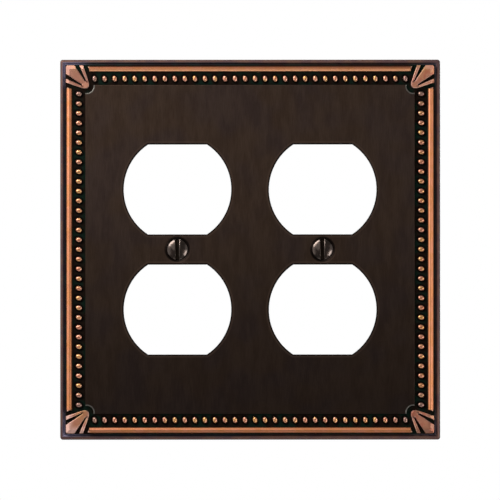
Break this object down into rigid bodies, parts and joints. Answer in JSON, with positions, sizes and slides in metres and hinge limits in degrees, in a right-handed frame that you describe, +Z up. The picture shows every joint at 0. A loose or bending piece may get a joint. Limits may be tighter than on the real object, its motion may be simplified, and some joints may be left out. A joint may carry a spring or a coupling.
{
  "type": "wall plate cover",
  "caption": "Square duplex receptacle wall plate in aged bronze, with a beaded border, copper rails, fan corners and captive slotted screws.",
  "frame": {"origin": "centre of the plate in the plane of its back rim, midway between the two screws", "axes": "+Z up, +X to the right as seen from the front, +Y into the wall, so the face looks towards -Y"},
  "size_m": [0.1204, 0.017, 0.1204],
  "materials": {
    "aged_bronze": "aged bronze patina, brushed panel, copper showing on the rails, beads and corner fans",
    "bronze_screw": "dark bronze plating, smooth semi-gloss",
    "retainer_nylon": "natural nylon, matte"
  },
  "bodies": {
    "plate": {"wall_plate": "aged_bronze"},
    "retainer_left": {"retainer_left": "retainer_nylon"},
    "screw_left": {"screw_left": "bronze_screw"},
    "retainer_right": {"retainer_right": "retainer_nylon"},
    "screw_right": {"screw_right": "bronze_screw"}
  },
  "joints": [
    {"name": "retainer_left_slide", "type": "slide", "parent": "plate", "child": "retainer_left", "axis": [0, -1, 0], "range_m": [0, 0.00178]},
    {"name": "screw_left_turn", "type": "hinge", "parent": "retainer_left", "child": "screw_left", "pos_m": [-0.02302, 0, 0], "axis": [0, -1, 0], "range_deg": [0, 810]},
    {"name": "retainer_right_slide", "type": "slide", "parent": "plate", "child": "retainer_right", "axis": [0, -1, 0], "range_m": [0, 0.00178]},
    {"name": "screw_right_turn", "type": "hinge", "parent": "retainer_right", "child": "screw_right", "pos_m": [0.02302, 0, 0], "axis": [0, -1, 0], "range_deg": [0, 810]}
  ],
  "couplings": [
    {"joint": "screw_left_turn", "follows": "retainer_left_slide", "rad_per_m": 7915.8},
    {"joint": "screw_right_turn", "follows": "retainer_right_slide", "rad_per_m": 7915.8}
  ]
}
